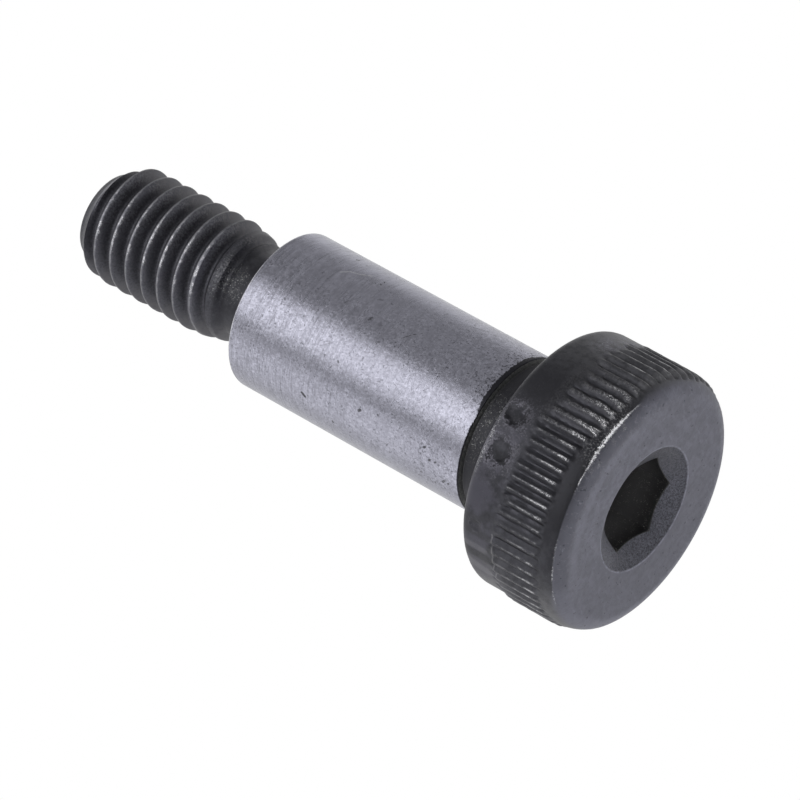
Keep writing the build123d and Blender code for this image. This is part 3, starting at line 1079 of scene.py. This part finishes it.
# Cards, of which the nearest covers the others: azimuths, elevations, distance as a share of the
# ring's radius, radiance, which for the key card is a setting, and width of the soft edge
CARDS = {
    "card_under": ((-106, 66), (-88, -26), 0.97, 0.08, 18),
    "card_key": ((-56, -1), (-30, 66), 1.0, None, 12),
    "card_gap": ((-82, -50), (-60, 68), 1.02, 0.47, 10),
    "card_dark": ((-8, 88), (-60, 78), 1.03, 0.37, 12),
    "card_right": ((86, 167), (-60, 72), 1.05, 0.77, 33),
    "card_side": ((-134, -70), (-60, 70), 1.06, 1.06, 12),
    "card_turn": ((58, 130), (-60, 72), 1.07, 0.39, 8),
    "card_left": ((-215, -118), (-60, 70), 1.08, 0.74, 16),
}
CARD_COLUMNS, CARD_ROWS = 16, 14

# Lamps: azimuth, elevation, distance, size in metres and power in watts
LAMPS = {"lamp_key": (-25, 32, 0.6, 0.4, 4.0), "lamp_fill": (160, 35, 0.8, 0.5, 2.0)}
FLOOR_REACH, FLOOR_CORNERS, FLOOR_GAP = 1.2, 64, 0.02 * MM
SHARP_ANGLE = math.radians(38)


def link(name, data, hidden_from=()):
    """Adds an object, which the rays named don't see."""
    made = bpy.data.objects.new(name, data)
    bpy.context.scene.collection.objects.link(made)
    for ray in hidden_from:
        setattr(made, "visible_" + ray, False)
    return made


def direction(azimuth, elevation):
    """The way out from the bolt at these angles in degrees."""
    az, el = math.radians(azimuth), math.radians(elevation)
    return Vector((math.cos(az) * math.cos(el), math.sin(az) * math.cos(el), math.sin(el)))


class BOLT_OT_bolt(bpy.types.Operator):
    """Builds the bolt as one closed surface, from the bottom of the socket to the tip of the thread"""

    bl_idname = "bolt.bolt"
    bl_label = "Shoulder bolt"
    bl_options = {"REGISTER", "UNDO"}

    def execute(self, context):
        scene = context.scene
        head, knurl, socket = scene.bolt_head, scene.bolt_knurl, scene.bolt_socket
        shank, thread, finish = scene.bolt_shank, scene.bolt_thread, scene.bolt_finish
        skin = Skin()
        socket_rings(skin, socket)
        head_rings(skin, head, knurl)
        shank_rings(skin, head, shank)
        thread_rings(skin, shank, thread)
        finishes = [oxide_finish(finish, head, knurl, socket, thread), ground_finish(finish, shank)]
        mesh = skin.mesh("bolt", finishes)
        mesh.set_sharp_from_angle(angle=SHARP_ANGLE)
        bolt = link("bolt", mesh)
        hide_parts(NODE)
        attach(bolt, "root")
        return {"FINISHED"}


def card(name, azimuths, elevations, distance, radiance, soft):
    """A curved card round the bolt, seen only in its gloss."""
    points = [
        CENTRE + direction(azimuth, elevation) * distance
        for elevation in np.linspace(*elevations, CARD_ROWS + 1)
        for azimuth in np.linspace(*azimuths, CARD_COLUMNS + 1)
    ]
    row = CARD_COLUMNS + 1
    corners = [row * up + across for up in range(CARD_ROWS) for across in range(CARD_COLUMNS)]
    mesh = bpy.data.meshes.new(name)
    mesh.from_pydata(points, [], [(n, n + 1, n + row + 1, n + row) for n in corners])
    mesh.materials.append(glow(name, radiance, azimuths, elevations, soft))
    link(name, mesh, ("camera", "diffuse", "shadow", "transmission"))


def lamp(name, azimuth, elevation, distance, size, power):
    """A round lamp that points at the bolt and doesn't show in its gloss."""
    data = bpy.data.lights.new(name, "AREA")
    data.shape = "DISK"
    data.size = size
    data.energy = power
    way = direction(azimuth, elevation)
    made = link(name, data, ("camera", "glossy"))
    made.location = CENTRE + way * distance
    made.rotation_mode = "QUATERNION"
    made.rotation_quaternion = (-way).to_track_quat("-Z", "Y")


def lay_floor(shade):
    """A floor under the head, seen only by the camera, only from above and fading far out."""
    turns = [n * math.tau / FLOOR_CORNERS for n in range(FLOOR_CORNERS)]
    ring = [(FLOOR_REACH * math.cos(turn), FLOOR_REACH * math.sin(turn), 0) for turn in turns]
    mesh = bpy.data.meshes.new("floor")
    mesh.from_pydata(ring, [], [list(range(FLOOR_CORNERS))])
    n = Nodes(bpy.data.materials.new("pale_floor"))
    n.place()
    front = 1 - n.add("NewGeometry", output="Backfacing")
    shown = n.add("LightPath", output="Is Camera Ray") * front * n.r.ease(400, 80)
    pale = n.add("BsdfDiffuse", {"Color": shade})
    mesh.materials.append(n.choose(shown, n.add("BsdfTransparent"), pale))
    floor = link("floor", mesh, ("shadow",))
    floor.location.z = LOW.z - FLOOR_GAP


class BOLT_OT_stage(bpy.types.Operator):
    """Sets the camera, the world, the floor and the lamps"""

    bl_idname = "bolt.stage"
    bl_label = "Stage"
    bl_options = {"REGISTER", "UNDO"}

    def execute(self, context):
        scene = context.scene
        stage = scene.bolt_stage
        scene.view_settings.view_transform = "Standard"

        data = bpy.data.cameras.new("camera")
        data.lens = stage.lens
        data.sensor_width = 36.0
        data.clip_start = 0.01
        data.clip_end = 20.0
        camera = link("camera", data)
        turn = Matrix((CAMERA_RIGHT, CAMERA_UP, CAMERA_RIGHT.cross(CAMERA_UP))).transposed().to_4x4()
        camera.matrix_world = Matrix.Translation(CAMERA_PLACE) @ turn
        scene.camera = camera

        # The world is white to the camera and in gloss, and lights the rest at the ambient level
        scene.world = bpy.data.worlds.new("studio")
        n = Nodes(scene.world, "World")
        rays = ("Is Camera Ray", "Is Glossy Ray", "Is Transmission Ray")
        seen = n.most(*(n.add("LightPath", output=ray) for ray in rays))
        levels = (stage.ambient, 1.0)
        n.choose(seen, *(n.add("Background", {"Color": 1, "Strength": level}) for level in levels))

        for name, (azimuths, elevations, away, radiance, soft) in CARDS.items():
            radiance = stage.key if radiance is None else radiance
            card(name, azimuths, elevations, stage.distance * away, radiance, soft)
        for name, settings in LAMPS.items():
            lamp(name, *settings)
        if stage.show_floor:
            lay_floor(stage.floor[:])
        return {"FINISHED"}


class BOLT_PT_panel(bpy.types.Panel):
    """Lists the steps and their sizes"""

    bl_idname = "BOLT_PT_panel"
    bl_label = "Shoulder Bolt"
    bl_space_type = "VIEW_3D"
    bl_region_type = "UI"
    bl_category = "Shoulder Bolt"

    def draw(self, context):
        layout = self.layout
        for operator in OPERATORS:
            layout.operator(operator.bl_idname)
        for name, group in GROUPS.items():
            box = layout.box()
            box.label(text=group.__doc__)
            for item in group.__annotations__:
                box.prop(getattr(context.scene, name), item)


OPERATORS = (BOLT_OT_bolt, BOLT_OT_stage)
GROUPS = {
    "bolt_head": HeadSizes,
    "bolt_knurl": KnurlSizes,
    "bolt_socket": SocketSizes,
    "bolt_shank": ShankSizes,
    "bolt_thread": ThreadSizes,
    "bolt_finish": FinishSettings,
    "bolt_stage": StageSettings,
}
CLASSES = (*GROUPS.values(), *OPERATORS, BOLT_PT_panel)


def register():
    for each in CLASSES:
        bpy.utils.register_class(each)
    for name, group in GROUPS.items():
        setattr(bpy.types.Scene, name, PointerProperty(type=group))


def unregister():
    for name in GROUPS:
        delattr(bpy.types.Scene, name)
    for each in reversed(CLASSES):
        bpy.utils.unregister_class(each)


def main():
    register()
    bpy.ops.bolt.bolt()
    bpy.ops.bolt.stage()


if __name__ == "__main__":
    main()
